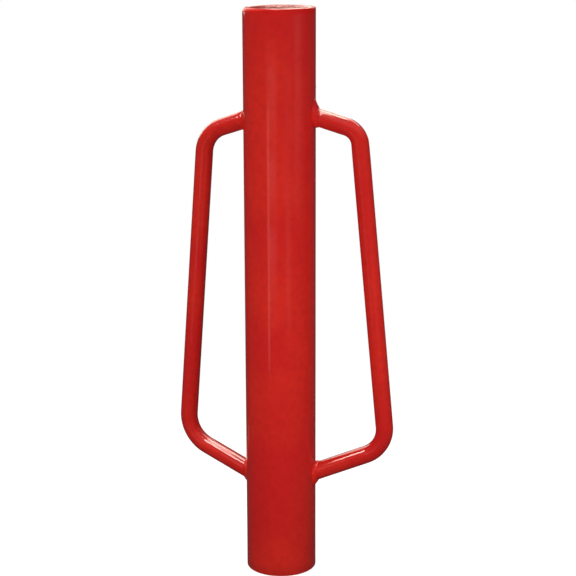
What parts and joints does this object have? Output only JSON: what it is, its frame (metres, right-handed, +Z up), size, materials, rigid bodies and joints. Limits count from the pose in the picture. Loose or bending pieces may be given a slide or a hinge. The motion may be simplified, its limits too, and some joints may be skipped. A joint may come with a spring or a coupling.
{
  "type": "post driver",
  "caption": "Manual post driver: a steel tube closed by a welded weight plug at the top and open below, with bent round-bar handles welded to its sides, all painted red.",
  "frame": {"origin": "centre of the barrel's open mouth, in the plane of its rim", "axes": "+Z up the barrel's axis towards its closed end; the handles lie to -X and +X, both set a little back towards +Y; -Y is the front"},
  "size_m": [0.2453, 0.0762, 0.6144],
  "materials": {
    "barrel_enamel": "gloss enamel",
    "plug_enamel": "gloss enamel, strike face worn",
    "handle_enamel": "gloss enamel",
    "weld_enamel": "gloss enamel over weld ripple"
  },
  "bodies": {
    "root": {"barrel_tube": "barrel_enamel", "anvil_plug": "plug_enamel", "cap_weld": "weld_enamel", "left_handle": "handle_enamel", "right_handle": "handle_enamel", "upper_left_weld": "weld_enamel", "lower_left_weld": "weld_enamel", "upper_right_weld": "weld_enamel", "lower_right_weld": "weld_enamel"}
  },
  "joints": []
}
